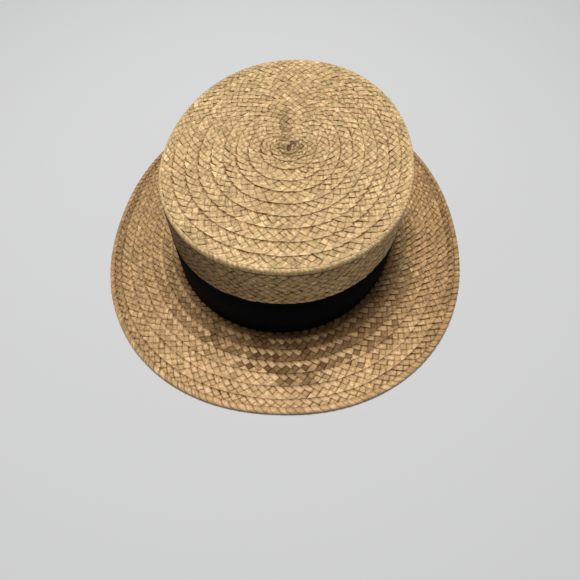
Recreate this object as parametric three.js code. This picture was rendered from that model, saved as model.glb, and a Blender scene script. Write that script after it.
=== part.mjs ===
import * as THREE from "three";

// Straw boater hat at its real size, in millimetres, +Z up, resting on the underside of its brim.
// The origin is on that surface under the middle of the brim.
// +Y is the length of the head and points to the end that is a little narrower.

// Head opening, measured inside the foot of the crown
const headWidth = 164;
const headLength = 196.6;

// Crown
const crownHeight = 76;          // from the top of the brim to the tip
const crownWall = 2;             // sewn straw where it is thinnest
const crownRowStep = 0.7;        // how far one row of plait stands over the next one
const shoulderRadius = 1.6;      // rounded edge between the side wall and the tip
const shoulderInside = 1.5;      // bevel inside that edge
const crownTaperSides = 2.3;     // how much the tip draws in at each side
const crownTaperEnds = 1.3;      // how much the tip draws in at each end
const crownLean = 3.1;           // the tip has slumped this far towards +X
const crownSetBack = 2.6;        // the crown sits this far towards +Y on the brim
const crownTurn = -5.8;          // degrees that the crown is turned on the brim, seen from above

// Brim
const brimWidthSides = 51.7;     // from the foot of the crown to the edge
const brimWidthEnds = 53.3;
const brimThickness = 3;
const brimRowStep = 0.7;
const brimRowCount = 6;          // rows between the crown and the folded one
const brimRowFlat = 0.6;         // share of a row's underside that lies flat on the surface
const foldWidth = 7.6;           // last row, folded round the edge
const foldThickness = 3.4;

// Ribbon band
const ribbonWidth = 40;
const ribbonThickness = 0.8;
const selvedgeWidth = 1.2;       // woven edges of the ribbon
const selvedgeDrop = 0.25;       // how much thinner they are than the middle

// The crown stands on the brim and the ribbon lies round the crown with this gap
const seamGap = 0.3;

// Facets
const ovalSegments = 70;
const shoulderSteps = 3;
const foldSteps = 6;

// Ovals: fullness 2 is an ellipse and more is squarer, narrowing is the share lost at the +Y end
const ovalShapes = {
  foot: { fullness: 2.01, narrowing: 0.039 },
  tip: { fullness: 2.1, narrowing: 0.056 },
  edge: { fullness: 2.16, narrowing: 0.039 },
};

// Rows of plait on the tip, from the eye of the spiral out to the shoulder.
// outerEdge is a share of the flat tip's size, step a share of crownRowStep.
const tipRows = [
  { outerEdge: 0.077, step: 0.6 },
  { outerEdge: 0.144, step: 0.7 },
  { outerEdge: 0.22, step: 0.8 },
  { outerEdge: 0.322, step: 1 },
  { outerEdge: 0.416, step: 1 },
  { outerEdge: 0.516, step: 1 },
  { outerEdge: 0.613, step: 1 },
  { outerEdge: 0.71, step: 1 },
  { outerEdge: 0.808, step: 1 },
  { outerEdge: 0.906, step: 1 },
  { outerEdge: 1, step: 0.8 },
];

// Rows of plait on the side wall, from the shoulder down to the ribbon.
// lowerEdge is a share of the wall between them, step a share of crownRowStep.
const sideRows = [
  { lowerEdge: 0.25, step: 0.8 },
  { lowerEdge: 0.5, step: 1 },
  { lowerEdge: 0.75, step: 1 },
  { lowerEdge: 1, step: 1 },
];

// Worked out from the sizes above
const brimTop = brimThickness;
const crownFoot = brimTop + seamGap;
const crownTop = brimTop + crownHeight;
const shoulderTop = crownTop - crownRowStep;
const wallTop = shoulderTop - shoulderRadius;
const ribbonFoot = brimTop + seamGap;
const ribbonTop = ribbonFoot + ribbonWidth;
const wallBottom = ribbonTop + seamGap;
const thickestWall = crownWall + crownRowStep;
const footHalfWidth = headWidth / 2 + thickestWall;
const footHalfLength = headLength / 2 + thickestWall;

function blend(from, to, share) {
  return from + (to - from) * share;
}

// A power that keeps its sign, so that the four quarters of an oval are alike
function signedPower(value, exponent) {
  return Math.sign(value) * Math.abs(value) ** exponent;
}

// The point of an oval in a direction, given in degrees from +X
function ovalPoint(oval, direction, z) {
  const along = THREE.MathUtils.degToRad(direction - oval.turn);
  const side = signedPower(Math.cos(along), 2 / oval.fullness);
  const end = signedPower(Math.sin(along), 2 / oval.fullness);
  const narrowed = 1 - oval.narrowing * end;
  const point = new THREE.Vector3(oval.halfWidth * side * narrowed, oval.halfLength * end, 0);
  point.applyAxisAngle(new THREE.Vector3(0, 0, 1), THREE.MathUtils.degToRad(oval.turn));
  return point.add(new THREE.Vector3(oval.middleX, oval.middleY, z));
}

function ovalRing(oval, z) {
  const directions = Array.from({ length: ovalSegments }, (_, segment) => (360 * segment) / ovalSegments);
  return directions.map((direction) => ovalPoint(oval, direction, z));
}

// The crown's outline at a height, drawn in by an inset. It tapers and leans evenly from foot to tip.
function crownOval(z, inset) {
  const rise = (z - brimTop) / crownHeight;
  return {
    halfWidth: footHalfWidth - crownTaperSides * rise - inset,
    halfLength: footHalfLength - crownTaperEnds * rise - inset,
    fullness: blend(ovalShapes.foot.fullness, ovalShapes.tip.fullness, rise),
    narrowing: blend(ovalShapes.foot.narrowing, ovalShapes.tip.narrowing, rise),
    turn: crownTurn,
    middleX: crownLean * rise,
    middleY: crownSetBack,
  };
}

function crownRing(z, inset) {
  return ovalRing(crownOval(z, inset), z);
}

// A row of the tip has the flat tip's own outline, made smaller about its middle
function tipRing(z, share) {
  const flat = crownOval(crownTop, shoulderRadius);
  const row = { ...flat, halfWidth: flat.halfWidth * share, halfLength: flat.halfLength * share };
  return ovalRing(row, z);
}

function tipMiddle(z) {
  const flat = crownOval(crownTop, 0);
  return new THREE.Vector3(flat.middleX, flat.middleY, z);
}

// The brim's outline drawn in by an inset
function edgeRing(z, inset) {
  const edge = {
    halfWidth: footHalfWidth + brimWidthSides - inset,
    halfLength: footHalfLength + brimWidthEnds - inset,
    ...ovalShapes.edge,
    turn: 0,
    middleX: 0,
    middleY: 0,
  };
  return ovalRing(edge, z);
}

// A ring on the brim's rows, from 0 at the foot of the crown to 1 where the folded row starts
function brimRing(z, share) {
  const start = ovalRing(crownOval(brimTop, 0), z);
  const end = edgeRing(z, foldWidth);
  return start.map((point, index) => point.lerp(end[index], share));
}

// The rim of the head opening, on the brim
function openingRing(z) {
  return ovalRing(crownOval(brimTop, thickestWall), z);
}

// Skins rings that run outwards over the top, down and back underneath.
// It closes on a pole at each end, or on itself where there are no poles.
function skinRings(rings, poles = []) {
  const points = rings.flat();
  const triangles = [];
  const strips = poles.length > 0 ? rings.length - 1 : rings.length;
  for (let strip = 0; strip < strips; strip += 1) {
    const here = strip * ovalSegments;
    const next = ((strip + 1) % rings.length) * ovalSegments;
    for (let segment = 0; segment < ovalSegments; segment += 1) {
      const beside = (segment + 1) % ovalSegments;
      triangles.push(here + segment, next + beside, here + beside);
      triangles.push(here + segment, next + segment, next + beside);
    }
  }
  if (poles.length > 0) {
    const firstPole = points.push(poles[0]) - 1;
    const lastPole = points.push(poles[1]) - 1;
    const lastRing = (rings.length - 1) * ovalSegments;
    for (let segment = 0; segment < ovalSegments; segment += 1) {
      const beside = (segment + 1) % ovalSegments;
      triangles.push(firstPole, segment, beside);
      triangles.push(lastPole, lastRing + beside, lastRing + segment);
    }
  }
  const geometry = new THREE.BufferGeometry().setFromPoints(points);
  geometry.setIndex(triangles);
  geometry.computeVertexNormals();
  return geometry;
}

function pieceOf(name, geometry, material) {
  const piece = new THREE.Mesh(geometry, material);
  piece.name = name;
  return piece;
}

// Each row of the tip lies over the next one out, so the face drops by a step at every outer edge
function tipRowRings() {
  return tipRows.flatMap((row) => [
    tipRing(crownTop - crownRowStep * (1 - row.step), row.outerEdge),
    tipRing(shoulderTop, row.outerEdge),
  ]);
}

// From the edge of the flat tip round to the side wall
function shoulderRings() {
  return Array.from({ length: shoulderSteps }, (_, step) => {
    const angle = (Math.PI / 2) * (1 - (step + 1) / shoulderSteps);
    const inset = shoulderRadius * (1 - Math.cos(angle));
    return crownRing(wallTop + shoulderRadius * Math.sin(angle), inset);
  });
}

// Each row of the side wall lies over the one below it, so the wall steps in at every lower edge
function sideRowRings() {
  return sideRows.flatMap((row) => {
    const z = blend(wallTop, wallBottom, row.lowerEdge);
    return [crownRing(z, crownRowStep * (1 - row.step)), crownRing(z, crownRowStep)];
  });
}

// The crown, a hollow shell of sewn straw that is open at the foot
function makeCrown() {
  const tipUnderside = crownTop - thickestWall;
  const rings = [
    ...tipRowRings(),
    ...shoulderRings(),
    ...sideRowRings(),
    crownRing(crownFoot, crownRowStep),
    crownRing(crownFoot, thickestWall),
    crownRing(tipUnderside - shoulderInside, thickestWall),
    crownRing(tipUnderside, thickestWall + shoulderInside),
    tipRing(tipUnderside, 0.5),
  ];
  const poles = [tipMiddle(shoulderTop), tipMiddle(tipUnderside)];
  const straw = new THREE.MeshStandardMaterial({ color: 0xc9a36b, roughness: 0.6, metalness: 0 });
  return pieceOf("crown", skinRings(rings, poles), straw);
}

// Top of the brim: each row lies over the next one out
function brimTopRings() {
  const rings = [];
  for (let row = 1; row <= brimRowCount; row += 1) {
    rings.push(brimRing(brimTop, row / brimRowCount));
    rings.push(brimRing(brimTop - brimRowStep, row / brimRowCount));
  }
  return rings;
}

// Underside, from the fold back in: a row lies flat at its inner edge and rises over the next one out
function brimUndersideRings() {
  const rings = [];
  for (let row = brimRowCount; row >= 1; row -= 1) {
    rings.push(brimRing(brimRowStep, row / brimRowCount));
    rings.push(brimRing(0, (row - 1 + brimRowFlat) / brimRowCount));
    if (row > 1) {
      rings.push(brimRing(0, (row - 1) / brimRowCount));
    }
  }
  return rings;
}

// The last row of plait is folded round the edge
function foldRings() {
  const radius = foldThickness / 2;
  const round = Array.from({ length: foldSteps + 1 }, (_, step) => {
    const angle = Math.PI * (0.5 - step / foldSteps);
    return edgeRing(radius * (1 + Math.sin(angle)), radius * (1 - Math.cos(angle)));
  });
  return [...round, edgeRing(0, foldWidth)];
}

// The brim, a flat ring of sewn straw round the head opening
function makeBrim() {
  const rings = [
    openingRing(brimTop),
    ...brimTopRings(),
    ...foldRings(),
    ...brimUndersideRings(),
    openingRing(0),
  ];
  const darkStraw = new THREE.MeshStandardMaterial({ color: 0xab8358, roughness: 0.6, metalness: 0 });
  return pieceOf("brim", skinRings(rings), darkStraw);
}

// The ribbon, tight round the plain foot of the crown, its woven edges a little thinner
function makeRibbonBand() {
  const inside = crownRowStep - seamGap;
  const outside = inside - ribbonThickness;
  const rings = [
    crownRing(ribbonTop, inside),
    crownRing(ribbonTop, outside + selvedgeDrop),
    crownRing(ribbonTop - selvedgeWidth, outside),
    crownRing(ribbonFoot + selvedgeWidth, outside),
    crownRing(ribbonFoot, outside + selvedgeDrop),
    crownRing(ribbonFoot, inside),
  ];
  const navyRibbon = new THREE.MeshStandardMaterial({ color: 0x0b0e17, roughness: 0.85, metalness: 0 });
  return pieceOf("ribbon_band", skinRings(rings), navyRibbon);
}

const boaterHat = new THREE.Group();
boaterHat.add(makeCrown(), makeBrim(), makeRibbonBand());

export default boaterHat;
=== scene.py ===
"""Dresses a straw boater hat: sewn rows of plaited straw on crown and brim, and a ribbed ribbon band.

Everything is in metres, +Z up, with the hat resting on its brim at height 0.
Each crossing of the plait is one short straw of its own, laid by Geometry Nodes on the rows that are
worked out here from the hat's ovals.
"""

import math
from typing import NamedTuple

import bpy
import numpy as np
from mathutils import Matrix, Vector


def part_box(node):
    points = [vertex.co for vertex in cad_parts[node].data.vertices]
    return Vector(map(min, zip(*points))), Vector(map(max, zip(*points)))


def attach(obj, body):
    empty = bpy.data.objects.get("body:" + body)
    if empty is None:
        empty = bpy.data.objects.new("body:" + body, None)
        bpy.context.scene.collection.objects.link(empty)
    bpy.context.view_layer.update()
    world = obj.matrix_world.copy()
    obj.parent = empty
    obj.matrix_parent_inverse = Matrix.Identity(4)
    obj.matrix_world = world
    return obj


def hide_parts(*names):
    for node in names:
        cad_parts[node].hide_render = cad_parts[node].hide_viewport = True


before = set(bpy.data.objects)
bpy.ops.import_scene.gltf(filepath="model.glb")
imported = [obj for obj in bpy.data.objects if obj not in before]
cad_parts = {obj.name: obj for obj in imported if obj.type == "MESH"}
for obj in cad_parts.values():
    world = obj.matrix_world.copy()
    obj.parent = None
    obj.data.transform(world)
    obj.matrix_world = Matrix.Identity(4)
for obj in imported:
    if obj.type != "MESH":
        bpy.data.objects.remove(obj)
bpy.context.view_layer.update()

bl_info = {
    "name": "Straw boater hat",
    "version": (1, 0, 0),
    "blender": (4, 5, 0),
    "location": "View3D > Sidebar > Boater hat",
    "description": "Plaited straw crown and brim with a ribbed ribbon band",
    "category": "Object",
}

MM = 0.001
BODY = "root"

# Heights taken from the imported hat
BRIM_TOP = 3 * MM
CROWN_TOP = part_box("crown")[1].z
RIBBON_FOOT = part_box("ribbon_band")[0].z
RIBBON_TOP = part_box("ribbon_band")[1].z
CROWN_HEIGHT = CROWN_TOP - BRIM_TOP

# The hat's ovals
FOOT_HALF_WIDTH = 84.7 * MM
FOOT_HALF_LENGTH = 101 * MM
TAPER_SIDES = 2.3 * MM
TAPER_ENDS = 1.3 * MM
CROWN_LEAN = 3.1 * MM
CROWN_SET_BACK = 2.6 * MM
CROWN_TURN = math.radians(-5.8)
BRIM_WIDTH_SIDES = 51.7 * MM
BRIM_WIDTH_ENDS = 53.3 * MM
BRIM_REACH = BRIM_WIDTH_ENDS + CROWN_SET_BACK
FOLD_ROW_WIDTH = 9.4 * MM
BRIM_ROW_WIDTH = 8.45 * MM
FOLD_THICKNESS = 3.4 * MM
WALL = 2.7 * MM
SHOULDER_RADIUS = 1.6 * MM
FOOT_FULLNESS = 2.01
FOOT_NARROWING = 0.039
TIP_FULLNESS = 2.1
TIP_NARROWING = 0.056
EDGE_FULLNESS = 2.16
EDGE_NARROWING = 0.039

# Edges of the tip's rows, as shares of the flat tip, from the eye of the spiral out
TIP_ROW_EDGES = (0.012, 0.077, 0.144, 0.22, 0.322, 0.416, 0.516, 0.613, 0.71, 0.808, 0.906, 0.99)
SIDE_ROWS = 4
INSIDE_ROWS = 8
BRIM_ROWS = 6

# How deep the middle of the straws lies under the outside of the crown
STRAW_BED = 0.35 * MM
# Inset of the head hollow from the crown's outline, where the backing and the plait end
HOLLOW_INSET = WALL - 0.5 * MM
# The edges of the rows wander in and out: waves round the hat, and the depth of each
EDGE_WAVES = (7, 16, 29)
EDGE_WAVE_DEPTH = 0.16 * MM

RING_STEPS = 720
DIRECTIONS = np.arange(RING_STEPS) * (2 * math.pi / RING_STEPS)

# The plaited pieces. Each draws its own random numbers, from the seed plus its place in this list.
PLAITED = (
    "tip_plait", "side_plait", "brim_top_plait", "brim_underside_plait", "brim_fold",
    "inner_wall_plait", "ribbon_ribs", "shoulder_plait", "tip_underside_plait",
)

# What a point of the plait carries: which shape is laid on it
EDGE_TURN, RISING_STRAW, FALLING_STRAW, TUCKED_STRAW, FLOATING_STRAW, BENT_STRAW, RIB = range(7)
# The crossings of a row lie on four levels, from its proud edge to its tucked one, each with its shape
LEVELS = (EDGE_TURN, RISING_STRAW, FALLING_STRAW, TUCKED_STRAW)
LEVEL_GAPS = len(LEVELS) - 1
FEWEST_COLUMNS = 6


def srgb(red, green, blue):
    """A colour given as it looks on a screen, 0 to 255, in linear light"""
    return tuple(((value / 255 + 0.055) / 1.055) ** 2.4 for value in (red, green, blue))


def length_setting(name, description, default, low, high):
    return bpy.props.FloatProperty(
        name=name, description=description, default=default, min=low, max=high, unit="LENGTH", precision=5)


def share_setting(name, description, default, high=1.0):
    return bpy.props.FloatProperty(
        name=name, description=description, default=default, min=0.0, max=high, subtype="FACTOR")


def colour_setting(name, description, default):
    return bpy.props.FloatVectorProperty(
        name=name, description=description, default=default, min=0.0, max=1.0, subtype="COLOR")


class PlaitSettings(bpy.types.PropertyGroup):
    """Sizes of the plaited straw"""

    crown_crossing: length_setting(
        "Crown crossing", "Length along the row of one crossing of straws on the crown",
        6.2 * MM, 3 * MM, 15 * MM)
    brim_crossing: length_setting(
        "Brim crossing", "Length along the row of one crossing of straws on the brim",
        6.1 * MM, 3 * MM, 15 * MM)
    row_step: length_setting(
        "Row step", "How far one row of plait stands over the next one", 0.6 * MM, 0.1 * MM, 2 * MM)
    crown_relief: length_setting(
        "Crown relief", "How far a straw of the crown rises over the ones it crosses",
        0.27 * MM, 0.05 * MM, 1 * MM)
    brim_relief: length_setting(
        "Brim relief", "How far a straw of the brim rises over the ones it crosses",
        0.34 * MM, 0.05 * MM, 1 * MM)
    crown_floats: share_setting(
        "Crown floats", "Share of the crown's straws that lie over two others at a time", 0.6)
    brim_floats: share_setting(
        "Brim floats", "Share of the brim's straws that lie over two others at a time", 0.9)
    unevenness: share_setting(
        "Unevenness", "How far straws turn and tilt out of line, as a share of a right angle", 0.045, 0.3)
    seed: bpy.props.IntProperty(
        name="Seed", description="Start of the random choice of straws", default=7, min=0)


class BrimFoldSettings(bpy.types.PropertyGroup):
    """Sizes of the folded edge of the brim"""

    straw_pitch: length_setting(
        "Straw pitch", "Distance along the edge from one folded straw to the next",
        5.4 * MM, 3 * MM, 15 * MM)
    reach: length_setting(
        "Reach", "How far the folded straws reach in from the edge", 4.3 * MM, 2 * MM, 7 * MM)
    slant: share_setting(
        "Slant", "How far a folded straw leans along the edge, as a share of the pitch", 0.8, 1.5)


class RibbonSettings(bpy.types.PropertyGroup):
    """Sizes and colour of the ribbon band"""

    rib_pitch: length_setting(
        "Rib pitch", "Distance from one rib of the ribbon to the next", 1.0 * MM, 0.3 * MM, 3 * MM)
    rib_height: length_setting(
        "Rib height", "How far a rib stands out of the ribbon", 0.22 * MM, 0.05 * MM, 1 * MM)
    colour: colour_setting("Ribbon colour", "Colour of the ribbon", (0.0002, 0.0013, 0.0045))


class StrawColours(bpy.types.PropertyGroup):
    """Colours of the straw"""

    crown: colour_setting("Crown straw", "Middle colour of the crown's straw", srgb(206, 175, 127))
    brim: colour_setting("Brim straw", "Middle colour of the brim's straw", srgb(192, 156, 109))
    groove: colour_setting("Grooves", "Colour of the dirt and shade between straws", srgb(112, 76, 34))
    # This dark colour serves for stains, and also for painted shade on the side wall and next to the ribbon
    stain: colour_setting("Stains", "Colour of the stained straw", srgb(82, 50, 24))


class StageSettings(bpy.types.PropertyGroup):
    """Floor and light round the hat"""

    floor_colour: colour_setting("Floor", "Colour of the floor", (0.62, 0.63, 0.65))
    key_power: bpy.props.FloatProperty(
        name="Key light", description="Power of the light above and behind the hat",
        default=17.0, min=0.0, unit="POWER")
    fill_strength: bpy.props.FloatProperty(
        name="Surrounding light", description="Strength of the even light all round",
        default=0.2, min=0.0)


class Oval(NamedTuple):
    """A flat oval. Fullness 2 is an ellipse and more is squarer, and narrowing is the share of the width
    that is lost at the +Y end."""

    half_width: float
    half_length: float
    fullness: float
    narrowing: float
    turn: float = 0.0
    middle: tuple = (0.0, 0.0)

    def ring(self, height, share=1.0):
        """Points all round at a height, made smaller about the middle by a share"""
        along = DIRECTIONS - self.turn
        side = np.sign(np.cos(along)) * np.abs(np.cos(along)) ** (2 / self.fullness)
        end = np.sign(np.sin(along)) * np.abs(np.sin(along)) ** (2 / self.fullness)
        x = self.half_width * share * side * (1 - self.narrowing * end)
        y = self.half_length * share * end
        cos_turn = math.cos(self.turn)
        sin_turn = math.sin(self.turn)
        return np.stack([
            self.middle[0] + x * cos_turn - y * sin_turn,
            self.middle[1] + x * sin_turn + y * cos_turn,
            np.full(RING_STEPS, height),
        ], axis=1)


def blend(start, end, share):
    return start + (end - start) * share


def crown_oval(height, inset):
    """The crown's outline at a height, drawn in by an inset"""
    rise = (height - BRIM_TOP) / CROWN_HEIGHT
    return Oval(
        FOOT_HALF_WIDTH - TAPER_SIDES * rise - inset,
        FOOT_HALF_LENGTH - TAPER_ENDS * rise - inset,
        blend(FOOT_FULLNESS, TIP_FULLNESS, rise),
        blend(FOOT_NARROWING, TIP_NARROWING, rise),
        CROWN_TURN,
        (CROWN_LEAN * rise, CROWN_SET_BACK))


def crown_ring(height, inset=0.0):
    return crown_oval(height, inset).ring(height)


def tip_ring(height, share):
    return crown_oval(CROWN_TOP, SHOULDER_RADIUS).ring(height, share)


def edge_ring(height, inset):
    """The brim's outline, drawn in by an inset"""
    return Oval(
        FOOT_HALF_WIDTH + BRIM_WIDTH_SIDES - inset,
        FOOT_HALF_LENGTH + BRIM_WIDTH_ENDS - inset,
        EDGE_FULLNESS, EDGE_NARROWING).ring(height)


def brim_ring(height, inset):
    """A ring on the brim. The inset runs along the front, and it is scaled to the brim's width elsewhere."""
    foot = crown_oval(BRIM_TOP, 0).ring(height)
    return blend(edge_ring(height, 0), foot, inset / BRIM_REACH)


def rescaled(vectors):
    return vectors / np.linalg.norm(vectors, axis=1, keepdims=True)


def sample(ring, place):
    """Points of a ring at places between its steps"""
    low = np.floor(place).astype(int)
    share = (place - low)[:, None]
    return blend(ring[low % RING_STEPS], ring[(low + 1) % RING_STEPS], share)


class Path:
    """A closed ring measured by the distance along it, in a whole number of pitches"""

    def __init__(self, ring, spacing, fewest=1):
        steps = np.linalg.norm(np.roll(ring, -1, axis=0) - ring, axis=1)
        self.travelled = np.concatenate(([0.0], np.cumsum(steps)))
        self.count = max(fewest, round(self.travelled[-1] / spacing))
        self.pitch = self.travelled[-1] / self.count

    def sample(self, ring, stations):
        """Points of a ring beside the path at distances along it, which may run past its end"""
        whole = self.travelled[-1]
        turns = np.floor(stations / whole)
        place = np.interp(stations - turns * whole, self.travelled, np.arange(RING_STEPS + 1))
        return sample(ring, place + turns * RING_STEPS)

    def stretch(self, ring, stations):
        """From half a pitch before each station to half a pitch after it"""
        return self.sample(ring, stations + self.pitch / 2) - self.sample(ring, stations - self.pitch / 2)


class Plait:
    """Gathers the crossings of a piece row by row, and lays a straw on each with Geometry Nodes"""

    def __init__(self, name, unevenness):
        self.name = name
        self.unevenness = unevenness
        self.random = np.random.default_rng(bpy.context.scene.boater_plait.seed + PLAITED.index(name))
        self.rows = []

    def wavy(self, ring, across):
        """The ring of a row's edge, which wanders in and out a little"""
        phases = self.random.random(len(EDGE_WAVES)) * 2 * math.pi
        wave = sum(np.sin(turns * DIRECTIONS + phase) for turns, phase in zip(EDGE_WAVES, phases))
        return ring + rescaled(across) * (wave * EDGE_WAVE_DEPTH)[:, None]

    def add_row(self, tucked, proud, crossing, relief, floats, levels=LEVELS, marks=None):
        """One row between two rings: its tucked edge lies under the next row, its proud edge over it.
        Marks is a function that gives each straw its change of tone, with painted light and shade on some
        pieces, and its share of the dark colour, for stains and painted shade."""
        proud = self.wavy(proud, proud - tucked)
        path = Path((tucked + proud) / 2, crossing, FEWEST_COLUMNS)
        phase = self.random.random()
        rising = self.random.random(path.count)
        floating = self.random.random(path.count) < floats
        for level in levels:
            column = np.arange(path.count)
            kind = np.full(path.count, level)
            tone = 0.35 * self.random.random(path.count) + 0.65 * (
                rising if level in (EDGE_TURN, RISING_STRAW) else self.random.random(path.count))
            if level == FALLING_STRAW:
                kind[floating] = FLOATING_STRAW
            if level == TUCKED_STRAW:
                column = column[~np.roll(floating, -1)]
                kind = kind[column]
                tone = tone[column]
            stations = (column + 0.5 * (level % 2) + phase) * path.pitch
            ring = blend(tucked, proud, 1 - level / LEVEL_GAPS)
            self.add_points(
                path.sample(ring, stations), path.sample(proud - tucked, stations),
                path.stretch(ring, stations), relief, kind, tone, marks)

    def add_points(self, here, across, along, relief, kind, tone, marks=None, height=None):
        """A straw for each point. Where a height is given, they have just that one and aren't lifted."""
        count = len(here)
        shift, stain = marks(here, kind, self.random) if marks else (0.0, np.zeros(count))
        facing = rescaled(np.cross(across, along))
        line = rescaled(np.cross(across, facing))
        across_line = rescaled(across)
        tilt, lean, turn = self.random.normal(0.0, self.unevenness, (count, 3)).T[:, :, None]
        spread = 1 + self.random.normal(0.0, self.unevenness, count)
        lift = relief * 0.2 * self.random.normal(0.0, 1.0, count)
        heights = np.linalg.norm(across, axis=1) * 2 / LEVEL_GAPS * spread
        if height is not None:
            lift = np.zeros(count)
            heights = np.broadcast_to(height, count)
        lengths = np.linalg.norm(along, axis=1) * spread
        self.rows.append({
            "place": here + facing * lift[:, None],
            "facing": rescaled(facing + 0.6 * tilt * line + 0.6 * lean * across_line),
            "line": rescaled(line + turn * across_line),
            "cell": np.stack([lengths, heights, np.full(count, relief)], axis=1),
            "kind": np.broadcast_to(kind, count),
            "tone": tone + shift,
            "tint": self.random.random(count),
            "stain": np.clip(stain, 0, 1),
        })

    def points_mesh(self):
        """A mesh of loose points that carries the crossings to Geometry Nodes"""
        gathered = {key: np.concatenate([row[key] for row in self.rows]) for key in self.rows[0]}
        mesh = bpy.data.meshes.new(self.name + "_points")
        mesh.from_pydata(gathered.pop("place").tolist(), [], [])
        for key, values in gathered.items():
            data_type = "INT" if key == "kind" else "FLOAT_VECTOR" if values.ndim == 2 else "FLOAT"
            plain = values.astype(np.int32 if key == "kind" else np.float32).ravel()
            attribute = mesh.attributes.new(key, data_type, "POINT")
            attribute.data.foreach_set("vector" if values.ndim == 2 else "value", plain)
        return mesh

    def lay(self, shapes, material):
        """The finished piece: a shape on every crossing, as one plain mesh"""
        tree = laying_tree(self.name, shapes)
        carrier = bpy.data.objects.new(self.name + "_points", self.points_mesh())
        bpy.context.scene.collection.objects.link(carrier)
        modifier = carrier.modifiers.new("plait", "NODES")
        modifier.node_group = tree
        bpy.context.view_layer.update()
        graph = bpy.context.evaluated_depsgraph_get()
        mesh = bpy.data.meshes.new_from_object(carrier.evaluated_get(graph))
        mesh.name = self.name
        mesh.materials.clear()
        mesh.materials.append(material)
        mesh.polygons.foreach_set("material_index", [0] * len(mesh.polygons))
        bpy.data.objects.remove(carrier)
        bpy.data.node_groups.remove(tree)
        for unused in ("facing", "line", "cell", "kind"):
            if unused in mesh.attributes:
                mesh.attributes.remove(mesh.attributes[unused])
        return new_piece(self.name, mesh)


def lay_plaits(plaits, shapes, material):
    """The finished pieces of plaits that share their shapes, which aren't needed after that"""
    pieces = [plait.lay(shapes, material) for plait in plaits]
    for shape in shapes.values():
        bpy.data.objects.remove(shape)
    return pieces


class Graph:
    """A node tree, with short ways to add nodes to it"""

    def __init__(self, tree):
        self.tree = tree

    def feed(self, socket, value):
        if isinstance(value, Value):
            value = value.socket
        if isinstance(value, bpy.types.NodeSocket):
            self.tree.links.new(value, socket)
        else:
            socket.default_value = value

    def add(self, kind, settings=None, inputs=None):
        """A node of a type, its settings first and then the values or links of its sockets"""
        node = self.tree.nodes.new(kind)
        for name, setting in (settings or {}).items():
            if name == "stops":
                self.set_stops(node.color_ramp, setting)
            else:
                setattr(node, name, setting)
        for name, value in (inputs or {}).items():
            self.feed(next(s for s in node.inputs if s.enabled and s.name == name), value)
        return node

    @staticmethod
    def set_stops(ramp, stops):
        while len(ramp.elements) < len(stops):
            ramp.elements.new(1.0)
        for element, (position, colour) in zip(ramp.elements, stops):
            element.position = position
            element.color = (*colour, 1.0)

    def output(self, node, name):
        return Value(self, next(s for s in node.outputs if s.enabled and s.name == name))

    def attribute(self, name):
        return self.output(self.add("ShaderNodeAttribute", {"attribute_name": name}), "Fac")

    def place(self):
        """Where the point lies in the object's own frame"""
        return self.add("ShaderNodeTexCoord").outputs["Object"]

    def mix(self, share, first, second):
        """A mix of two colours, each a tuple or the output of a node"""
        colours = [(*colour, 1.0) if isinstance(colour, tuple) else colour for colour in (first, second)]
        node = self.add(
            "ShaderNodeMix", {"data_type": "RGBA"}, {"Factor": share, "A": colours[0], "B": colours[1]})
        return self.output(node, "Result")

    def noise(self, vector, scale, detail, roughness):
        node = self.add(
            "ShaderNodeTexNoise", {},
            {"Vector": vector, "Scale": scale, "Detail": detail, "Roughness": roughness})
        return self.output(node, "Fac")

    def ramp(self, value, stops):
        return self.output(self.add("ShaderNodeValToRGB", {"stops": stops}, {"Fac": value}), "Color")

    def bump(self, strength, distance, height):
        node = self.add("ShaderNodeBump", {}, {"Strength": strength, "Distance": distance, "Height": height})
        return node.outputs["Normal"]


class Value:
    """A socket that takes part in Python arithmetic by adding Math nodes"""

    def __init__(self, graph, socket):
        self.graph = graph
        self.socket = socket

    def math(self, operation, *others, clamp=False):
        node = self.graph.add("ShaderNodeMath", {"operation": operation, "use_clamp": clamp})
        for socket, value in zip(node.inputs, others):
            self.graph.feed(socket, value)
        return Value(self.graph, node.outputs[0])

    def __add__(self, other):
        return self.math("ADD", self, other)

    def __sub__(self, other):
        return self.math("SUBTRACT", self, other)

    def __rsub__(self, other):
        return self.math("SUBTRACT", other, self)

    def __mul__(self, other):
        return self.math("MULTIPLY", self, other)

    def __pow__(self, other):
        return self.math("POWER", self, other)

    __radd__ = __add__

    def clamped(self):
        return self.math("ADD", self, 0.0, clamp=True)

    def size(self):
        return self.math("ABSOLUTE", self)


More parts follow.
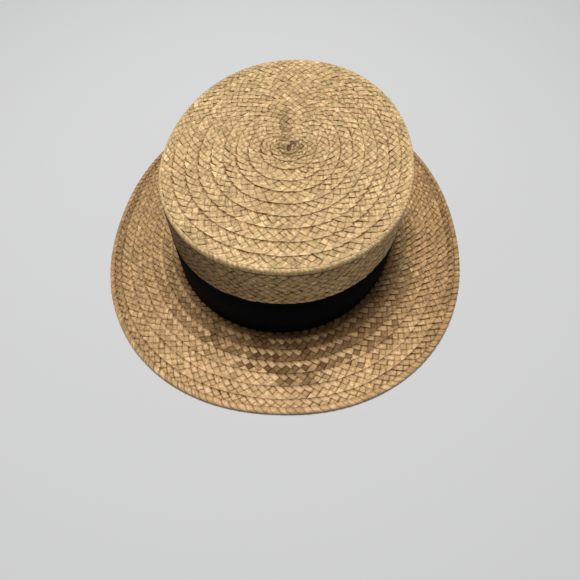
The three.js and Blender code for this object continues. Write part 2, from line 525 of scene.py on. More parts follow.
def laying_tree(name, shapes):
    """Geometry Nodes that lay the shape of each kind on the points of that kind"""
    tree = bpy.data.node_groups.new("lay_" + name, "GeometryNodeTree")
    tree.interface.new_socket("Geometry", in_out="INPUT", socket_type="NodeSocketGeometry")
    tree.interface.new_socket("Geometry", in_out="OUTPUT", socket_type="NodeSocketGeometry")
    graph = Graph(tree)
    start = graph.add("NodeGroupInput")

    def named(attribute, data_type):
        node = graph.add(
            "GeometryNodeInputNamedAttribute", {"data_type": data_type}, {"Name": attribute})
        return graph.output(node, "Attribute")

    turned = graph.add(
        "FunctionNodeAxesToRotation", {"primary_axis": "Z", "secondary_axis": "X"},
        {"Primary Axis": named("facing", "FLOAT_VECTOR"), "Secondary Axis": named("line", "FLOAT_VECTOR")})
    joined = graph.add("GeometryNodeJoinGeometry")
    for kind, shape in sorted(shapes.items(), key=lambda pair: pair[0]):
        chosen = graph.add(
            "FunctionNodeCompare", {"data_type": "INT", "operation": "EQUAL"},
            {"A": named("kind", "INT"), "B": kind})
        repeated = graph.add("GeometryNodeObjectInfo", {}, {"Object": shape, "As Instance": True})
        laid = graph.add("GeometryNodeInstanceOnPoints", {}, {
            "Points": start.outputs["Geometry"],
            "Selection": chosen.outputs["Result"],
            "Instance": repeated.outputs["Geometry"],
            "Rotation": turned.outputs["Rotation"],
            "Scale": named("cell", "FLOAT_VECTOR"),
        })
        tree.links.new(laid.outputs["Instances"], joined.inputs["Geometry"])
    realized = graph.add("GeometryNodeRealizeInstances", {}, {"Geometry": joined.outputs["Geometry"]})
    graph.add("NodeGroupOutput", {}, {"Geometry": realized.outputs["Geometry"]})
    return tree


def new_piece(name, mesh):
    """An object at the origin for a mesh that is already in place, riding on the hat"""
    piece = bpy.data.objects.new(name, mesh)
    bpy.context.scene.collection.objects.link(piece)
    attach(piece, BODY)
    return piece


def tube_faces(stations, around):
    """Faces of a closed bar whose sections follow each other, with a face over each end"""
    faces = []
    for station in range(stations - 1):
        for corner in range(around):
            here = station * around + corner
            beside = station * around + (corner + 1) % around
            faces.append((here, beside, beside + around, here + around))
    faces.append(tuple(reversed(range(around))))
    faces.append(tuple((stations - 1) * around + corner for corner in range(around)))
    return faces


def shape_object(name, points, faces, grain):
    """A hidden shape that Geometry Nodes repeat. Its grain attribute runs along and across the straw."""
    mesh = bpy.data.meshes.new(name)
    mesh.from_pydata([tuple(point) for point in points], [], faces)
    attribute = mesh.attributes.new("grain", "FLOAT_VECTOR", "POINT")
    attribute.data.foreach_set("vector", np.asarray(grain, np.float32).ravel())
    mesh.polygons.foreach_set("use_smooth", [True] * len(mesh.polygons))
    mesh.update()
    return bpy.data.objects.new(name, mesh)


# A straw's section, from one edge over the top to the other and back underneath:
# across is a share of its half width, lift is in the units of the plait's relief
STRAW_SECTION = ((1.0, 0.25), (0.86, 0.64), (0.0, 0.8), (-0.86, 0.64), (-1.0, 0.25), (0.0, -0.35))
STRAW_HALF_WIDTH = 0.53
# A straw dips under its neighbours over this much of its length at each end, a crossing being 1,
# this deep in units of the relief, and is painted this dark there as shade
STRAW_DIP = 0.64
DIP_DEPTH = 1.55
DIP_SHADE = 0.95
# How softly the painted shadow of the next row sets in, as a share of the cell's height
SHADE_EDGE = 0.09


def straw_shape(name, slant, last, stations, hidden):
    """One straw from a dip before its first crossing to a last place, in a cell of length and height 1.
    The line rises or falls at 45 degrees. Past the hidden height it gets the next row's shadow painted into
    its grain, and its dips get painted shade."""
    turn = Matrix.Rotation(slant * math.pi / 4, 3, "Z")
    side = math.sqrt(0.5)
    points = []
    grain = []
    for along in np.linspace(-STRAW_DIP, last, stations):
        dip = max(0.0, -along, along + STRAW_DIP - last) / STRAW_DIP
        for across, lift in STRAW_SECTION:
            flat = turn @ Vector((along * side, across * STRAW_HALF_WIDTH * side, 0))
            points.append((flat.x, flat.y, 1 - DIP_DEPTH * dip ** 2 + lift))
            # Painted shadow of the next row past the hidden height, and painted shade where the straw dips
            # under others
            tucked = min(1.0, max(0.0, (hidden - flat.y) / SHADE_EDGE))
            grain.append((along * 2, across, max(tucked, DIP_SHADE * dip ** 3)))
    return shape_object(name, points, tube_faces(stations, len(STRAW_SECTION)), grain)


def edge_turn_shape(name):
    """Where a straw turns back at the proud edge of a row: a flat triangle with its long side on the edge"""
    outline = ((0.54, 0.0), (0.27, -0.27), (0.0, -0.52), (-0.27, -0.27), (-0.54, 0.0), (0.0, 0.05))
    points = []
    grain = []
    # The two lower rings get painted shade in the grain, the top ring none
    for height, shrink in ((-0.6, 1.0), (0.9, 1.0), (1.5, 0.86)):
        for x, y in outline:
            points.append((x * shrink, -0.16 + (y + 0.16) * shrink, height))
            grain.append((2 * x * shrink, 0.0, 0.3 if height < 1 else 0.0))
    points.append((0.0, -0.17, 1.7))
    grain.append((0.0, 0.0, 0))
    count = len(outline)
    faces = []
    for ring in range(2):
        for corner in range(count):
            here = ring * count + corner
            beside = ring * count + (corner + 1) % count
            faces.append((here, here + count, beside + count, beside))
    faces.append(tuple(range(count)))
    for corner in range(count):
        faces.append((2 * count + corner, 3 * count, 2 * count + (corner + 1) % count))
    return shape_object(name, points, faces, grain)


def bent_straw_shape(name, radius, turn, before, after, slant, rim, bend_steps=6):
    """A straw bent round an edge: a straight stretch on top, an arc, and a straight stretch after it.
    Lengths across the edge are real ones, and along the edge the pitch is 1. A rim of 1 darkens its edges
    with grime and painted shade as much as on the other straws, and less darkens them less."""
    sunk = 0.4 * MM
    path = [(-radius - before, radius - sunk, math.pi / 2), (-radius - before * 0.8, radius, math.pi / 2)]
    for step in range(bend_steps + 1):
        angle = math.pi / 2 - turn * step / bend_steps
        path.append((radius * (math.cos(angle) - 1), radius * math.sin(angle), angle))
    out, height, angle = path[-1]
    for share, depth in ((0.8, 0.0), (1.0, sunk)):
        path.append((
            out + after * share * math.sin(angle) - depth * math.cos(angle),
            height - after * share * math.cos(angle) - depth * math.sin(angle),
            angle))
    straw = 0.3 * MM
    points = []
    grain = []
    for index, (out, height, angle) in enumerate(path):
        share = index / (len(path) - 1)
        from_end = min(index, len(path) - 1 - index)
        # Darker at both ends where the straw sinks under: painted shade, and on the shoulder the brown line
        # of its stitching
        shade = {0: 0.9, 1: 0.35}.get(from_end, 0.0)
        for across, lift in STRAW_SECTION:
            raised = (lift - 0.8) * straw
            points.append((
                slant * (0.5 - share) * 2 + across * (0.52 if from_end else 0.4),
                out + raised * math.cos(angle),
                height + raised * math.sin(angle)))
            grain.append((share * 4 - 2, across * rim, shade))
    faces = [tuple(reversed(face)) for face in tube_faces(len(path), len(STRAW_SECTION))]
    return shape_object(name, points, faces, grain)


def straw_shapes(fine):
    """The shapes of a plaited row, with more sections along each straw where they are fine"""
    short = 7 if fine else 5
    long = 9 if fine else 6
    return {
        EDGE_TURN: edge_turn_shape("edge_turn"),
        RISING_STRAW: straw_shape("rising_straw", 1, STRAW_DIP, short, -1.0),
        FALLING_STRAW: straw_shape("falling_straw", -1, STRAW_DIP, short, -1.0),
        TUCKED_STRAW: straw_shape("tucked_straw", 1, STRAW_DIP, short, 0.2),
        FLOATING_STRAW: straw_shape("floating_straw", -1, 1 + STRAW_DIP, long, -0.3),
    }


def ring_shell(name, rings, material, poles=None):
    """A closed shell through rings that run outwards over the top, down and back underneath"""
    points = np.concatenate(rings)
    faces = []
    strips = len(rings) - 1 if poles else len(rings)
    for strip in range(strips):
        here = strip * RING_STEPS
        below = ((strip + 1) % len(rings)) * RING_STEPS
        for step in range(RING_STEPS):
            beside = (step + 1) % RING_STEPS
            faces.append((here + step, below + step, below + beside, here + beside))
    if poles:
        points = np.concatenate([points, np.array(poles)])
        first = len(rings) * RING_STEPS
        last = (len(rings) - 1) * RING_STEPS
        for step in range(RING_STEPS):
            beside = (step + 1) % RING_STEPS
            faces.append((first, step, beside))
            faces.append((first + 1, last + beside, last + step))
    mesh = bpy.data.meshes.new(name)
    mesh.from_pydata(points.tolist(), [], faces)
    mesh.polygons.foreach_set("use_smooth", [True] * len(mesh.polygons))
    mesh.materials.append(material)
    mesh.update()
    return new_piece(name, mesh)


def new_material(name):
    """A material with an empty graph, and the graph"""
    material = bpy.data.materials.new(name)
    material.use_nodes = True
    material.node_tree.nodes.clear()
    return material, Graph(material.node_tree)


def finish_material(graph, **sockets):
    """The shader and output of a material. Socket names have their spaces as underscores."""
    shader = graph.add("ShaderNodeBsdfPrincipled", {}, {
        name.replace("_", " "): value for name, value in sockets.items()})
    graph.add("ShaderNodeOutputMaterial", {}, {"Surface": shader.outputs["BSDF"]})


def shaded(colour, factor):
    return tuple(min(1.0, channel * factor) for channel in colour)


# Straw from its darkest fibres up: the place on the ramp, and the share of the middle colour
STRAW_SHADES = ((0.0, 0.52), (0.3, 0.84), (0.55, 1.08), (0.8, 1.32))


def straw_material(name, middle, groove, stain):
    """Straw: every straw has its own tone, fibres run along it, and grime and painted shade darken its
    grooves
    """
    material, graph = new_material(name)
    grain = graph.add("ShaderNodeAttribute", {"attribute_name": "grain"})
    parts = graph.add("ShaderNodeSeparateXYZ", {}, {"Vector": grain.outputs["Vector"]})
    along = graph.output(parts, "X")
    across = graph.output(parts, "Y")
    shade = graph.output(parts, "Z")
    tint = graph.attribute("tint")
    tone = graph.attribute("tone")
    darkened = graph.attribute("stain")
    place = graph.place()

    # The colour of clean straw, with a few pinkish and greenish ones
    shift = tint * 40.0
    fibres_at = graph.add(
        "ShaderNodeCombineXYZ", {}, {"X": along * 0.5 + shift, "Y": across * 1.1 + shift, "Z": shift})
    fibres = graph.noise(fibres_at.outputs["Vector"], 1.6, 3.0, 0.6)
    specks = graph.noise(place, 620.0, 1.0, 0.5)
    pale = tuple(min(1.0, channel * 1.5 + 0.09) for channel in middle)
    stops = [(position, shaded(middle, share)) for position, share in STRAW_SHADES] + [(1.0, pale)]
    straw = graph.ramp(tone * 0.5 + fibres * 2.4 + specks - 1.44, stops)
    red, green, blue = middle
    pinkish = (min(1.0, red * 1.04), green * 0.9, blue * 0.95)
    greenish = (red * 0.86, green * 0.96, blue * 0.78)
    warmed = graph.mix((tint * 6.0 - 5.0).clamped() * 0.5, straw, pinkish)
    tinted = graph.mix((1.0 - tint * 6.0).clamped() * 0.5, warmed, greenish)

    # Age, stains, and painted shade on the side wall and brim, over whole straws
    cloud = graph.noise(place, 28.0, 3.0, 0.55)
    aged = graph.mix((cloud * 2.2 - 0.9).clamped() * 0.35, tinted, shaded(middle, 0.6))
    stained_and_shaded = graph.mix(darkened * 0.9, aged, stain)

    # Grime and painted shade along the edges, darker towards each edge as painted shade, a crack that some
    # straws have, painted shade where they dip under others, and the painted shadow of the next row
    dirt_and_shade_strength = (tint * 17.3).math("FRACT", tint * 17.3)
    split = (tint * 41.7).math("FRACT", tint * 41.7)
    rim = (across.size() ** 5.0) * (dirt_and_shade_strength * 0.5 + darkened * 0.7 + 0.3) + (across.size() ** 2.0) * 0.16
    crack = (1.0 - (across - 0.12).size() * 11.0).clamped() * (split * 4.0 - 3.0).clamped() * 0.45
    dirt_and_shade = (rim + crack + shade * (dirt_and_shade_strength * 0.25 + 0.75)).clamped()
    deep = graph.mix(darkened, groove, shaded(stain, 0.6))
    finish_material(
        graph, Base_Color=graph.mix(dirt_and_shade, stained_and_shaded, deep),
        Roughness=(0.34 + fibres * 0.25 + darkened * 0.6).clamped(),
        Normal=graph.bump(0.25, 0.2 * MM, fibres), Specular_IOR_Level=0.2)
    return material


def backing_material(name, colour):
    """The under layer of straw, seen only in the gaps between straws, in the dark groove colour: grime and
    painted shade
    """
    material, graph = new_material(name)
    cloud = graph.noise(graph.place(), 300.0, 3.0, 0.6)
    shade = graph.mix((cloud * 1.6 - 0.3).clamped(), shaded(colour, 0.55), colour)
    finish_material(graph, Base_Color=shade, Roughness=0.7)
    return material


def ribbon_material(name, colour):
    """Ribbon: near black with a blue cast, matte, with threads across its ribs"""
    material, graph = new_material(name)
    place = graph.place()
    stretched = graph.add("ShaderNodeMapping", {}, {"Vector": place, "Scale": (0.4, 0.4, 6.0)})
    threads = graph.noise(stretched.outputs["Vector"], 900.0, 2.0, 0.5)
    cloud = graph.noise(place, 35.0, 2.0, 0.5)
    shade = graph.mix(
        (threads * 0.7 + cloud * 0.6 - 0.2).clamped(), shaded(colour, 0.55), shaded(colour, 1.5))
    finish_material(
        graph, Base_Color=shade, Roughness=0.85, Normal=graph.bump(0.3, 0.1 * MM, threads),
        Specular_IOR_Level=0.12)
    return material


def straw_of(name, middle):
    """The straw material of a name, made when it is first asked for"""
    colours = bpy.context.scene.boater_straw
    return bpy.data.materials.get(name) or straw_material(
        name, tuple(middle), tuple(colours.groove), tuple(colours.stain))


def crown_straw():
    return straw_of("golden_plait", bpy.context.scene.boater_straw.crown)


def brim_straw():
    return straw_of("brown_plait", bpy.context.scene.boater_straw.brim)


# The browner straws of the tip: round the eye of the spiral, and in a streak from there to the back
EYE_RADIUS = 11 * MM
STREAK_LENGTH = 34 * MM
STREAK_DRIFT = 5 * MM
STREAK_HALF_WIDTH = 5.5 * MM
DULL_LENGTH = 60 * MM


def tip_marks(here, kind, random):
    """The tip is browner round its eye and in a streak, and a little duller towards the back"""
    x, y = crown_oval(CROWN_TOP, 0).middle
    sideways = here[:, 0] - x
    backwards = here[:, 1] - y
    reached = np.clip(backwards / STREAK_LENGTH, 0, 1)
    from_streak = np.hypot(sideways + STREAK_DRIFT * reached, backwards - STREAK_LENGTH * reached)
    eye = 0.6 * np.exp(-(np.hypot(sideways, backwards) / EYE_RADIUS) ** 2)
    streak = 0.45 * np.exp(-(from_streak / STREAK_HALF_WIDTH) ** 2)
    shade = -0.12 * np.clip(backwards / DULL_LENGTH, 0, 1)
    return shade, np.maximum(eye, streak) * (0.3 + 1.4 * random.random(len(here)))


def side_painted_shade(here, kind, random):
    """Painted shade: the side wall is darker all round, and most on the left"""
    left = np.clip(-here[:, 0] / FOOT_HALF_WIDTH, 0, 1)
    # Painted shade: a lower tone and more of the dark colour, growing to the left
    return -0.1 - 0.35 * left, 0.12 + 0.8 * left


# How far the dark stains and painted shade of the brim reach out from the ribbon: degrees round the hat
# from +X, the reach as a share of the brim's width, and how dark they are
BRIM_STAINS_AND_SHADE = (
    (-180, 0.2, 0.3),
    (-150, 0.44, 0.5),
    (-118, 0.52, 0.75),
    (-97, 0.58, 1.0),
    (-84, 0.76, 1.0),
    (-66, 0.66, 0.85),
    (-35, 0.54, 0.5),
    (0, 0.34, 0.35),
    (45, 0.1, 0.3),
    (135, 0.08, 0.25),
    (180, 0.14, 0.35),
)
# The rusty line inside the fold, as shares of the brim's width
RUST_PLACE = 0.88
RUST_HALF_WIDTH = 0.05


def brim_marks(here, kind, random):
    """The brim is darker next to the ribbon from stains and painted shade, paler in front from painted light
    with some bleaching, duller at the sides and back as painted shade, and brown in a line inside the fold.
    Straws that float over two others get less of the stains and a lighter tone, as painted sheen."""
    count = len(here)
    angle = np.arctan2(here[:, 1], here[:, 0])
    degrees = np.degrees(angle)
    angles, reaches, depths = np.array(BRIM_STAINS_AND_SHADE).T
    reach = np.interp(degrees, angles, reaches)
    depth = np.interp(degrees, angles, depths)
    foot = crown_oval(BRIM_TOP, 0).ring(0)
    edge = edge_ring(0, 0)
    place = (angle / (2 * math.pi) * RING_STEPS) % RING_STEPS
    inner = np.linalg.norm(sample(foot, place)[:, :2], axis=1)
    outer = np.linalg.norm(sample(edge, place)[:, :2], axis=1)
    share = (np.linalg.norm(here[:, :2], axis=1) - inner) / (outer - inner)
    uneven = 0.3 * (random.random(count) - 0.5)
    # Stains next to the ribbon, with painted shade at the crown's foot
    stain = depth * np.clip((reach - share + uneven) / 0.2, 0, 1) * (0.7 + 0.3 * random.random(count))
    floating = kind == FLOATING_STRAW
    # Floating straws keep less of the stains and painted shade, as painted sheen
    stain *= np.where(floating, 0.05 + 0.5 * random.random(count), 1.0)
    front = np.clip(-np.sin(angle), 0, 1) ** 3
    rusty = np.clip(1 - np.abs(share - RUST_PLACE) / RUST_HALF_WIDTH, 0, 1)
    rusty *= np.clip(np.abs(np.cos(angle)) * 2 - 0.8, 0, 1)
    # Painted light on the front of the brim, with some bleaching; painted shade at its sides and back;
    # floating straws lighter as painted sheen
    painted_front_light = front * np.clip(share * 2, 0, 1)
    shift = 0.8 * painted_front_light - 0.25 * (1 - front) + np.where(floating, 0.22, -0.14)
    return shift, np.maximum(stain, 0.5 * rusty)


class BOATER_OT_shells(bpy.types.Operator):
    """Makes the under layer of crown and brim that the plait lies on"""

    bl_idname = "boater.shells"
    bl_label = "Backing shells"

    def execute(self, context):
        step = context.scene.boater_plait.row_step
        material = backing_material("straw_backing", tuple(context.scene.boater_straw.groove))
        sunk = step + STRAW_BED
        top = CROWN_TOP - sunk
        under = CROWN_TOP - WALL + 0.5 * MM
        middle = crown_oval(CROWN_TOP, 0).middle
        crown = ring_shell(
            "crown_backing",
            [
                tip_ring(top, 0.96),
                crown_ring(top - 1 * MM, sunk + 0.4 * MM),
                crown_ring(top - 2 * MM, sunk),
                crown_ring(BRIM_TOP, sunk),
                crown_ring(BRIM_TOP, HOLLOW_INSET),
                crown_ring(under - 1.5 * MM, HOLLOW_INSET),
                crown_ring(under, WALL + 1 * MM),
            ],
            material, poles=[(*middle, top), (*middle, under)])
        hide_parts("crown")
        high = BRIM_TOP - step - 0.25 * MM
        low = 1.45 * MM
        opening = crown_oval(BRIM_TOP, HOLLOW_INSET)
        brim = ring_shell(
            "brim_backing",
            [
                opening.ring(high),
                edge_ring(high, 2.2 * MM),
                edge_ring((high + low) / 2, 1.2 * MM),
                edge_ring(low, 2.2 * MM),
                opening.ring(low),
            ],
            material)
        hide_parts("brim")
        return {"FINISHED"}


def lay_tip_rows(plait, base, step, share, settings, marks=None):
    """Rows of plait round the tip, at a height, each a step lower at its inner edge. The outermost one
    sinks a little towards the shoulder. With a step below 0 they lie on the tip's underside."""
    for row, (inner, outer) in enumerate(zip(TIP_ROW_EDGES, TIP_ROW_EDGES[1:])):
        crossing = settings.crown_crossing * min(1.0, 0.6 + 0.12 * row)
        sunk = 0.3 * MM if outer == TIP_ROW_EDGES[-1] else 0.0
        rings = [tip_ring(base - step, inner * share), tip_ring(base - sunk, outer * share)]
        if step < 0:
            rings = [tip_ring(base - step, outer * share), tip_ring(base, inner * share)]
        levels = LEVELS
        if row == 0:
            levels = LEVELS[1:] if step < 0 else LEVELS[:-1]
        plait.add_row(*rings, crossing, settings.crown_relief, settings.crown_floats, levels, marks)


class BOATER_OT_tip_plait(bpy.types.Operator):
    """Lays the rows of plait on the flat tip"""

    bl_idname = "boater.tip_plait"
    bl_label = "Tip plait"

    def execute(self, context):
        settings = context.scene.boater_plait
        plait = Plait("tip_plait", settings.unevenness)
        lay_tip_rows(plait, CROWN_TOP - STRAW_BED, settings.row_step, 1.0, settings, tip_marks)
        for piece in lay_plaits([plait], straw_shapes(fine=True), crown_straw()):
            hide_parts("crown")
        return {"FINISHED"}


def edge_straws(name, ring, inner, spacing, unevenness, tones, marks=None):
    """A plait of straws side by side round a ring, each square to it, that bend round an edge.
    Their tones lie between two values."""
    plait = Plait(name, unevenness)
    path = Path(ring, spacing)
    stations = np.arange(path.count) * path.pitch
    here = path.sample(ring, stations)
    tone = blend(*tones, plait.random.random(path.count))
    plait.add_points(
        here, here - path.sample(inner, stations), path.stretch(ring, stations), 1.0,
        BENT_STRAW, tone, marks, height=1.0)
    return plait


class BOATER_OT_side_plait(bpy.types.Operator):
    """Lays the rows of plait on the side wall above the ribbon, and bends the topmost over the shoulder"""

    bl_idname = "boater.side_plait"
    bl_label = "Side plait"

    def execute(self, context):
        settings = context.scene.boater_plait
        wall = Plait("side_plait", settings.unevenness)
        top = CROWN_TOP - SHOULDER_RADIUS - 3.2 * MM
        bottom = RIBBON_TOP + 0.3 * MM
        for row in range(SIDE_ROWS):
            under_shoulder = 0.7 * MM if row == 0 else 0.0
            upper = blend(top, bottom, row / SIDE_ROWS)
            lower = blend(top, bottom, (row + 1) / SIDE_ROWS)
            wall.add_row(
                crown_ring(upper, settings.row_step + STRAW_BED + under_shoulder),
                crown_ring(lower, STRAW_BED), settings.crown_crossing, settings.crown_relief,
                settings.crown_floats, marks=side_painted_shade)
        height = CROWN_TOP - 0.5 * MM - SHOULDER_RADIUS
        shoulder = edge_straws(
            "shoulder_plait", crown_ring(height, 0.3 * MM), crown_ring(height, 5 * MM),
            settings.crown_crossing * 0.5, settings.unevenness * 0.4, (0.35, 0.65))
        pieces = lay_plaits([wall], straw_shapes(fine=False), crown_straw())
        bent = bent_straw_shape(
            "shoulder_straw", SHOULDER_RADIUS, math.pi / 2, 0.8 * MM, 2.6 * MM, slant=0.35, rim=0.75)
        pieces += lay_plaits([shoulder], {BENT_STRAW: bent}, crown_straw())
        for piece in pieces:
            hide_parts("crown")
        return {"FINISHED"}


class BOATER_OT_brim_plait(bpy.types.Operator):
    """Lays the rows of plait on the top and the underside of the brim"""

    bl_idname = "boater.brim_plait"
    bl_label = "Brim plait"

    def execute(self, context):
        settings = context.scene.boater_plait
        step = settings.row_step
        floats = settings.brim_floats
        straws = (settings.brim_crossing, settings.brim_relief)
        top = BRIM_TOP - 0.3 * MM
        low = 1.0 * MM
        under_fold = 1.5 * MM
        opening = BRIM_REACH + HOLLOW_INSET
        above = Plait("brim_top_plait", settings.unevenness)
        below = Plait("brim_underside_plait", settings.unevenness)
        for row in range(BRIM_ROWS):
            outer = FOLD_ROW_WIDTH + row * BRIM_ROW_WIDTH
            inner = outer + BRIM_ROW_WIDTH
            innermost = row == BRIM_ROWS - 1
            above.add_row(
                brim_ring(top - step, inner), brim_ring(top, outer), *straws, floats,
                LEVELS[:2] if innermost else LEVELS, brim_marks)
            below.add_row(
                brim_ring(low + step, outer), brim_ring(low, min(inner, opening)), *straws,
                0.0 if innermost else floats)
        above.add_row(
            brim_ring(top - step, FOLD_ROW_WIDTH), brim_ring(top, under_fold), *straws, floats,
            LEVELS[1:], brim_marks)
        below.add_row(brim_ring(low, under_fold), brim_ring(low, FOLD_ROW_WIDTH), *straws, 0.0, LEVELS[:-1])
        for piece in lay_plaits([above, below], straw_shapes(fine=False), brim_straw()):
            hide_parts("brim")
        return {"FINISHED"}


class BOATER_OT_brim_fold(bpy.types.Operator):
    """Folds a row of straws round the brim's edge"""

    bl_idname = "boater.brim_fold"
    bl_label = "Brim fold"

    def execute(self, context):
        fold = context.scene.boater_fold
        radius = FOLD_THICKNESS / 2
        height = radius + 0.1 * MM
        plait = edge_straws(
            "brim_fold", edge_ring(height, 0), edge_ring(height, FOLD_ROW_WIDTH), fold.straw_pitch,
            0.01, (0.15, 0.95), brim_marks)
        reach = fold.reach - radius
        folded = bent_straw_shape("folded_straw", radius, math.pi, reach, reach, fold.slant, rim=1.0)
        for piece in lay_plaits([plait], {BENT_STRAW: folded}, brim_straw()):
            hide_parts("brim")
        return {"FINISHED"}


class BOATER_OT_inside_plait(bpy.types.Operator):
    """Lays the rows of plait on the inner wall and on the underside of the tip"""

    bl_idname = "boater.inside_plait"
    bl_label = "Inside plait"

    def execute(self, context):
        settings = context.scene.boater_plait
        step = settings.row_step
        inset = WALL - STRAW_BED
        under = CROWN_TOP - WALL + STRAW_BED
        foot = 1 * MM
        top = under - 0.6 * MM
        wall = Plait("inner_wall_plait", settings.unevenness)
        for row in range(INSIDE_ROWS):
            lower = blend(foot, top, row / INSIDE_ROWS)
            upper = blend(foot, top, (row + 1) / INSIDE_ROWS)
            wall.add_row(
                crown_ring(lower, inset - step), crown_ring(upper, inset),
                settings.crown_crossing, settings.crown_relief, 0.0 if row == 0 else settings.crown_floats,
                LEVELS[:-1] if row == 0 else LEVELS)
        ceiling = Plait("tip_underside_plait", settings.unevenness)
        lay_tip_rows(ceiling, under, -step, 0.985, settings)
        for piece in lay_plaits([wall, ceiling], straw_shapes(fine=False), crown_straw()):
            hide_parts("crown")
        return {"FINISHED"}


# A rib's section, from one side over the top to the other and back underneath, for a pitch and height of 1
RIB_SECTION = ((0.5, 0.0), (0.3, 0.75), (0.0, 1.0), (-0.3, 0.75), (-0.5, 0.0), (0.0, -0.6))


def rib_shape():
    """A straight rib of length 1 with three sections"""
    lengths = (-0.5, 0.0, 0.5)
    points = [(x, y, z) for y in lengths for x, z in RIB_SECTION]
    faces = [tuple(reversed(face)) for face in tube_faces(len(lengths), len(RIB_SECTION))]
    return shape_object("rib", points, faces, [(0, 0, 0)] * len(points))


class BOATER_OT_ribbon(bpy.types.Operator):
    """Lays the ribs of the ribbon side by side round the crown, between its two woven edges"""

    bl_idname = "boater.ribbon"
    bl_label = "Ribbon band"

    def execute(self, context):
        ribbon = context.scene.boater_ribbon
        material = ribbon_material("ribbed_navy", tuple(ribbon.colour))
        base = -0.1 * MM
        proud = base - 0.2 * MM
        selvedge = 1.2 * MM
        # From the ribbon's edge inwards: the distance from it, and the inset from the crown's outline
        woven_edge = (
            (0.0, 0.4 * MM),
            (0.0, base + 0.05 * MM),
            (0.25 * MM, proud),
            (selvedge, proud),
            (selvedge + 0.2 * MM, base),
        )
        rings = [crown_ring(RIBBON_TOP - down, inset) for down, inset in woven_edge]
        rings += [crown_ring(RIBBON_FOOT + up, inset) for up, inset in reversed(woven_edge)]
        backing = ring_shell("ribbon_backing", rings, material)
        upper = crown_ring(RIBBON_TOP - selvedge, base)
        lower = crown_ring(RIBBON_FOOT + selvedge, base)
        middle = (upper + lower) / 2
        path = Path(middle, ribbon.rib_pitch)
        stations = np.arange(path.count) * path.pitch
        across = path.sample(lower, stations) - path.sample(upper, stations)
        plait = Plait("ribbon_ribs", 0.0)
        plait.add_points(
            path.sample(middle, stations), across, path.stretch(middle, stations), ribbon.rib_height,
            RIB, np.full(path.count, 0.5), height=np.linalg.norm(across, axis=1))
        for piece in (backing, *lay_plaits([plait], {RIB: rib_shape()}, material)):
            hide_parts("ribbon_band")
        return {"FINISHED"}


# The camera that was fitted to the photo, in the hat's frame
CAMERA_PLACE = (13.9 * MM, -219.7 * MM, 269.7 * MM)
CAMERA_TURN = 3.0
CAMERA_DOWN = 59.67
CAMERA_ROLL = -0.847
CAMERA_LENS = 25.94


def key_light(power):
    """A round lamp high behind the hat, turned to it"""
    light = bpy.data.lights.new("key_light", "AREA")
    light.shape = "DISK"
    light.size = 0.45
    light.energy = power
    light.color = (1, 0.99, 0.97)
    lamp = bpy.data.objects.new("key_light", light)
    lamp.location = (-0.06, 0.16, 1.35)
    lamp.rotation_euler = (Vector((0, 0, 0.05)) - lamp.location).to_track_quat("-Z", "Y").to_euler()
    bpy.context.scene.collection.objects.link(lamp)


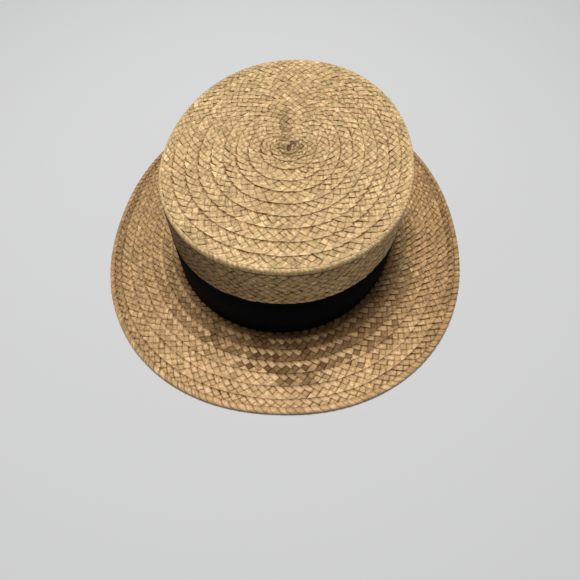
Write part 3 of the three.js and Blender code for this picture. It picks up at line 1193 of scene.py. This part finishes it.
class BOATER_OT_stage(bpy.types.Operator):
    """Sets the floor, the light and the camera"""

    bl_idname = "boater.stage"
    bl_label = "Stage"

    def execute(self, context):
        scene = context.scene
        stage = scene.boater_stage
        bpy.ops.mesh.primitive_plane_add(size=6.0, location=(0, 0, 0))
        floor = context.active_object
        floor.name = "floor"
        material, graph = new_material("pale_floor")
        finish_material(graph, Base_Color=(*stage.floor_colour, 1.0), Roughness=0.8)
        floor.data.materials.append(material)
        key_light(stage.key_power)
        world = bpy.data.worlds.new("surrounding_light")
        world.use_nodes = True
        background = world.node_tree.nodes["Background"].inputs
        background["Color"].default_value = (1.0, 0.98, 0.95, 1.0)
        background["Strength"].default_value = stage.fill_strength
        scene.world = world
        scene.view_settings.view_transform = "Standard"
        camera = bpy.data.cameras.new("camera")
        camera.sensor_width = 36.0
        camera.lens = CAMERA_LENS
        viewer = bpy.data.objects.new("camera", camera)
        viewer.matrix_world = (
            Matrix.Translation(CAMERA_PLACE)
            @ Matrix.Rotation(math.radians(CAMERA_TURN), 4, "Z")
            @ Matrix.Rotation(math.radians(90 - CAMERA_DOWN), 4, "X")
            @ Matrix.Rotation(math.radians(CAMERA_ROLL), 4, "Z"))
        scene.collection.objects.link(viewer)
        scene.camera = viewer
        return {"FINISHED"}


OPERATORS = (
    BOATER_OT_shells,
    BOATER_OT_tip_plait,
    BOATER_OT_side_plait,
    BOATER_OT_brim_plait,
    BOATER_OT_brim_fold,
    BOATER_OT_inside_plait,
    BOATER_OT_ribbon,
    BOATER_OT_stage,
)


class BOATER_PT_panel(bpy.types.Panel):
    """Lists the pieces of the hat"""

    bl_idname = "BOATER_PT_panel"
    bl_label = "Boater hat"
    bl_space_type = "VIEW_3D"
    bl_region_type = "UI"
    bl_category = "Boater hat"

    def draw(self, context):
        for operator in OPERATORS:
            self.layout.operator(operator.bl_idname)
        for group in SETTINGS:
            box = self.layout.box()
            for name in getattr(context.scene, group).bl_rna.properties.keys():
                if name not in ("rna_type", "name"):
                    box.prop(getattr(context.scene, group), name)


SETTINGS = {
    "boater_plait": PlaitSettings,
    "boater_fold": BrimFoldSettings,
    "boater_ribbon": RibbonSettings,
    "boater_straw": StrawColours,
    "boater_stage": StageSettings,
}


def register():
    for group, settings in SETTINGS.items():
        bpy.utils.register_class(settings)
        setattr(bpy.types.Scene, group, bpy.props.PointerProperty(type=settings))
    for operator in OPERATORS:
        bpy.utils.register_class(operator)
    bpy.utils.register_class(BOATER_PT_panel)


def unregister():
    bpy.utils.unregister_class(BOATER_PT_panel)
    for operator in reversed(OPERATORS):
        bpy.utils.unregister_class(operator)
    for group, settings in SETTINGS.items():
        delattr(bpy.types.Scene, group)
        bpy.utils.unregister_class(settings)


def main():
    register()
    bpy.ops.boater.shells()
    bpy.ops.boater.tip_plait()
    bpy.ops.boater.side_plait()
    bpy.ops.boater.brim_plait()
    bpy.ops.boater.brim_fold()
    bpy.ops.boater.inside_plait()
    bpy.ops.boater.ribbon()
    bpy.ops.boater.stage()


if __name__ == "__main__":
    main()
